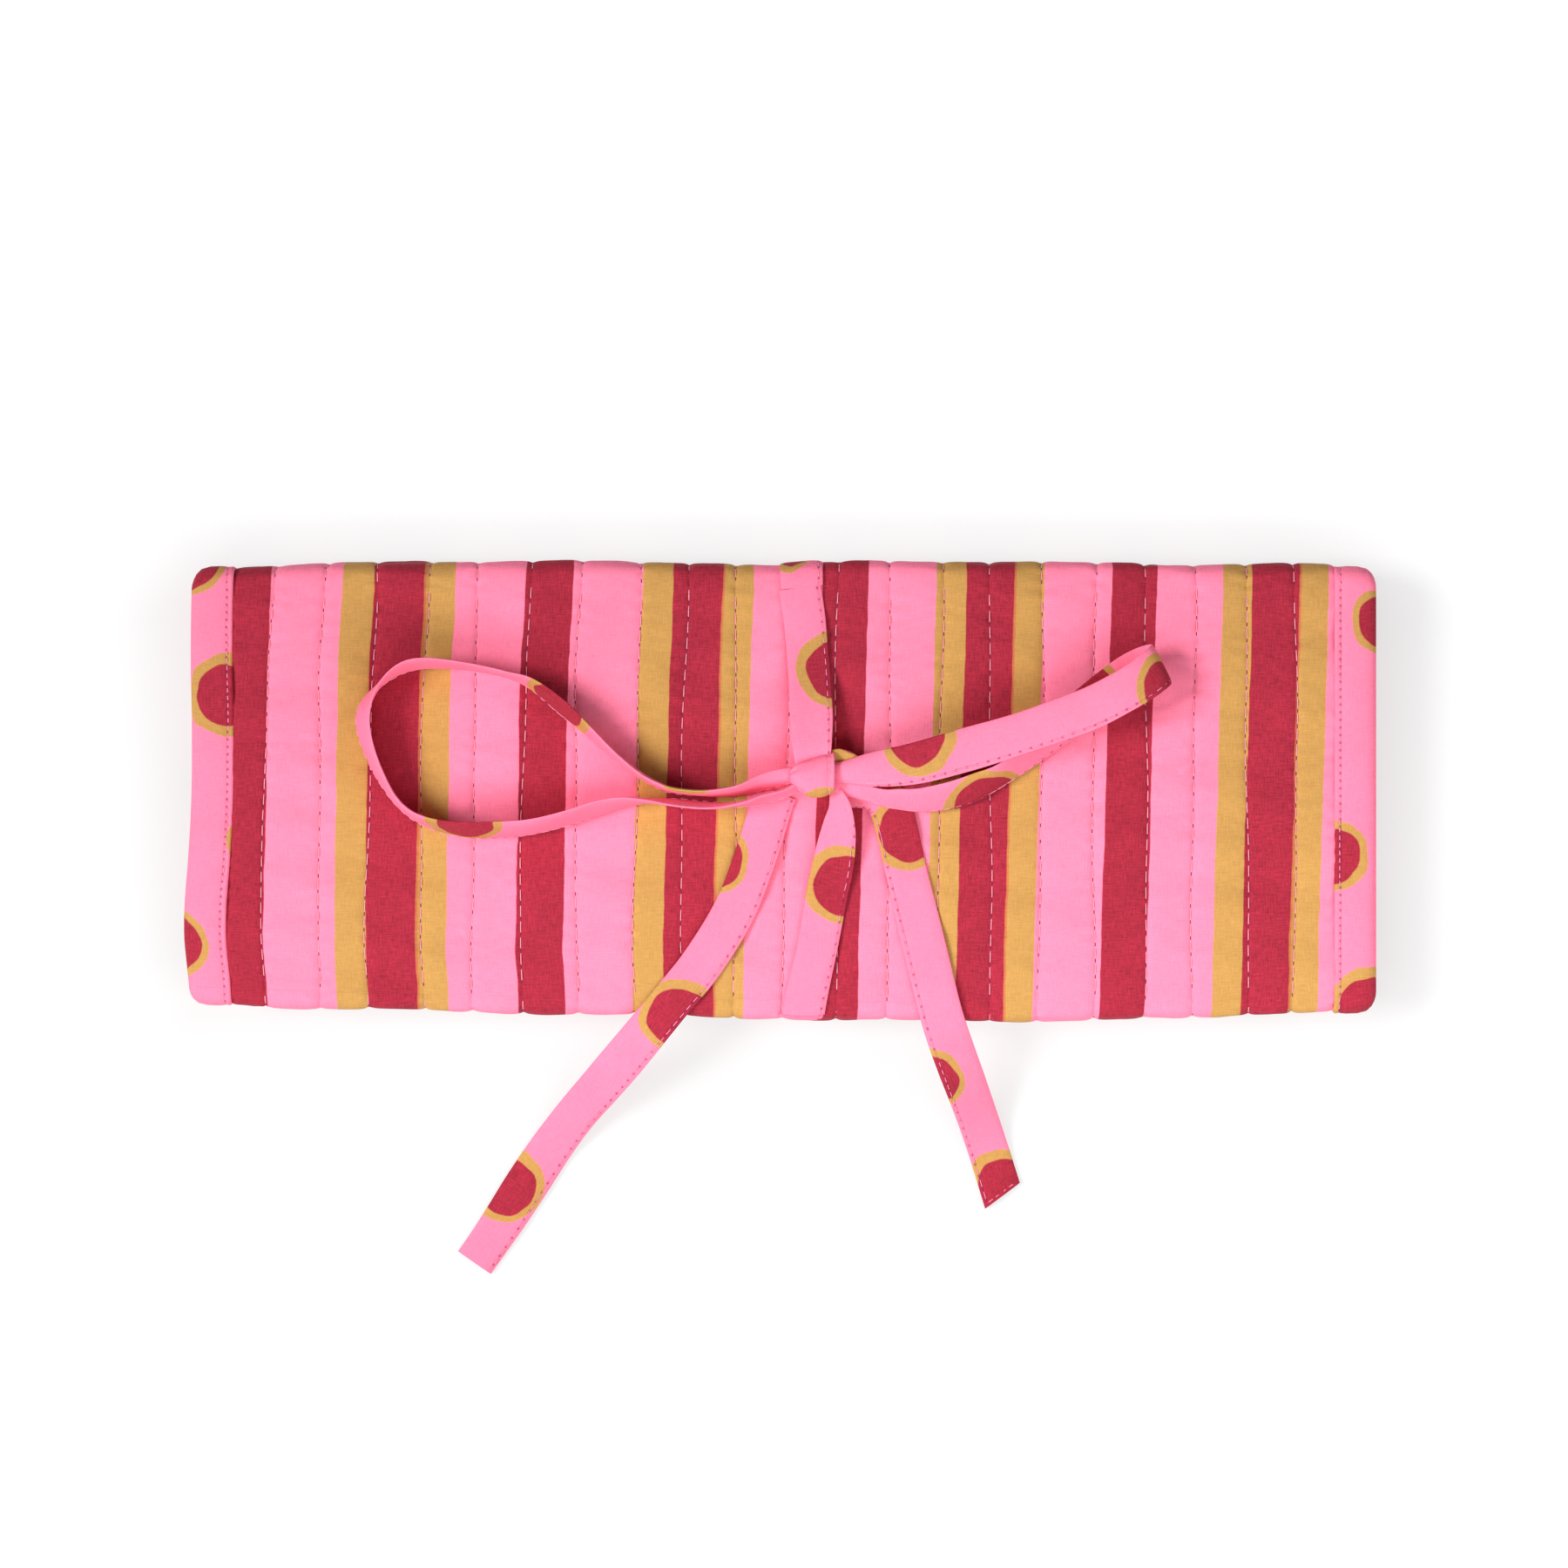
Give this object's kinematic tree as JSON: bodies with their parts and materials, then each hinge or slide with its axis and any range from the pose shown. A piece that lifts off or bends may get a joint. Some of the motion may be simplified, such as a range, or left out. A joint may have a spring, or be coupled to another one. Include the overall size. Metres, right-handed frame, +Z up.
{
  "type": "jewelry roll",
  "caption": "Quilted cotton jewelry roll folded in three, with bound ends, zip pockets and a ring bar with a press stud inside, held shut by a cloth tie knotted in a bow",
  "frame": {"origin": "bottom centre of the closed, tied roll on the surface it lies on, without the bow's loops and tails", "axes": "+X along the long side, +Y to the back fold, +Z up from the table to the face with the bow"},
  "size_m": [0.27, 0.1646, 0.0333],
  "materials": {
    "print": "striped cotton print in pink, burgundy and mustard, quilted",
    "wadding": "soft cotton wadding",
    "lining": "pink cotton with burgundy dots ringed in mustard, quilted through",
    "binding": "pink cotton with burgundy dots ringed in mustard, topstitched",
    "tie": "pink cotton with burgundy dots ringed in mustard, topstitched",
    "zip_tape": "woven zip tape",
    "zip_coil": "nylon coil",
    "brass": "satin brass"
  },
  "bodies": {
    "base": {"base_print": "print", "base_wadding": "wadding", "base_lining": "lining", "base_binding_left": "binding", "base_binding_right": "binding", "base_front_binding": "binding", "base_pocket_panel": "lining", "base_zip_tape_near": "zip_tape", "base_zip_tape_far": "zip_tape", "base_zip_coil": "zip_coil", "base_zip_stop_left": "brass", "base_zip_stop_right": "brass", "ring_bar_anchor": "binding", "snap_stud": "brass", "tie_front_run": "tie"},
    "spine": {"spine_print": "print", "spine_wadding": "wadding", "spine_lining": "lining", "spine_binding_left": "binding", "spine_binding_right": "binding", "tie_back_run": "tie"},
    "face": {"face_print": "print", "face_wadding": "wadding", "face_lining": "lining", "face_binding_left": "binding", "face_binding_right": "binding", "front_fold_print": "print", "front_fold_wadding": "wadding", "front_fold_lining": "lining", "front_fold_binding_left": "binding", "front_fold_binding_right": "binding", "face_pocket_panel": "lining", "face_zip_tape_near": "zip_tape", "face_zip_tape_far": "zip_tape", "face_zip_coil": "zip_coil", "face_zip_stop_left": "brass", "face_zip_stop_right": "brass", "tie_back_strap": "tie", "tie_front_strap": "tie", "bow_knot": "tie", "bow_loop_left": "tie", "bow_loop_right": "tie", "tie_tail_left": "tie", "tie_tail_right": "tie"},
    "flap": {"flap_print": "print", "flap_wadding": "wadding", "flap_lining": "lining", "flap_binding_left": "binding", "flap_binding_right": "binding", "flap_edge_binding": "binding"},
    "base_slider": {"base_zip_slider": "brass"},
    "base_pull": {"base_zip_pull": "brass"},
    "face_slider": {"face_zip_slider": "brass"},
    "face_pull": {"face_zip_pull": "brass"},
    "bar": {"ring_bar": "lining", "ring_bar_tab": "binding", "snap_socket": "brass"}
  },
  "joints": [
    {"name": "spine_turn", "type": "hinge", "parent": "base", "child": "spine", "pos_m": [0, 0.046, 0], "axis": [-1, 0, 0], "range_deg": [0, 90]},
    {"name": "face_turn", "type": "hinge", "parent": "spine", "child": "face", "pos_m": [0, 0.046, 0.02], "axis": [-1, 0, 0], "range_deg": [0, 90]},
    {"name": "flap_turn", "type": "hinge", "parent": "face", "child": "flap", "pos_m": [0, -0.04725, 0.01625], "axis": [-1, 0, 0], "range_deg": [0, 180], "deforming": ["front_fold_print", "front_fold_wadding", "front_fold_lining", "front_fold_binding_left", "front_fold_binding_right", "tie_tail_left", "tie_tail_right"]},
    {"name": "base_zip_slide", "type": "slide", "parent": "base", "child": "base_slider", "axis": [-1, 0, 0], "range_m": [0, 0.187]},
    {"name": "base_pull_flip", "type": "hinge", "parent": "base_slider", "child": "base_pull", "pos_m": [0.0935, 0.022, 0.00795], "axis": [0, -1, 0], "range_deg": [0, 90]},
    {"name": "face_zip_slide", "type": "slide", "parent": "face", "child": "face_slider", "axis": [-1, 0, 0], "range_m": [0, 0.187]},
    {"name": "face_pull_flip", "type": "hinge", "parent": "face_slider", "child": "face_pull", "pos_m": [0.0935, 0.033, 0.01205], "axis": [0, 1, 0], "range_deg": [0, 90]},
    {"name": "ring_bar_lift", "type": "hinge", "parent": "base", "child": "bar", "pos_m": [-0.07015, 0.008, 0.0067], "axis": [0, -1, 0], "range_deg": [0, 36]}
  ],
  "couplings": [
    {"joint": "face_turn", "follows": "spine_turn", "ratio": 1},
    {"joint": "flap_turn", "follows": "spine_turn", "ratio": 2},
    {"joint": "base_pull_flip", "follows": "spine_turn", "ratio": 1},
    {"joint": "face_pull_flip", "follows": "spine_turn", "ratio": 1},
    {"joint": "ring_bar_lift", "follows": "spine_turn", "ratio": 0.4}
  ]
}
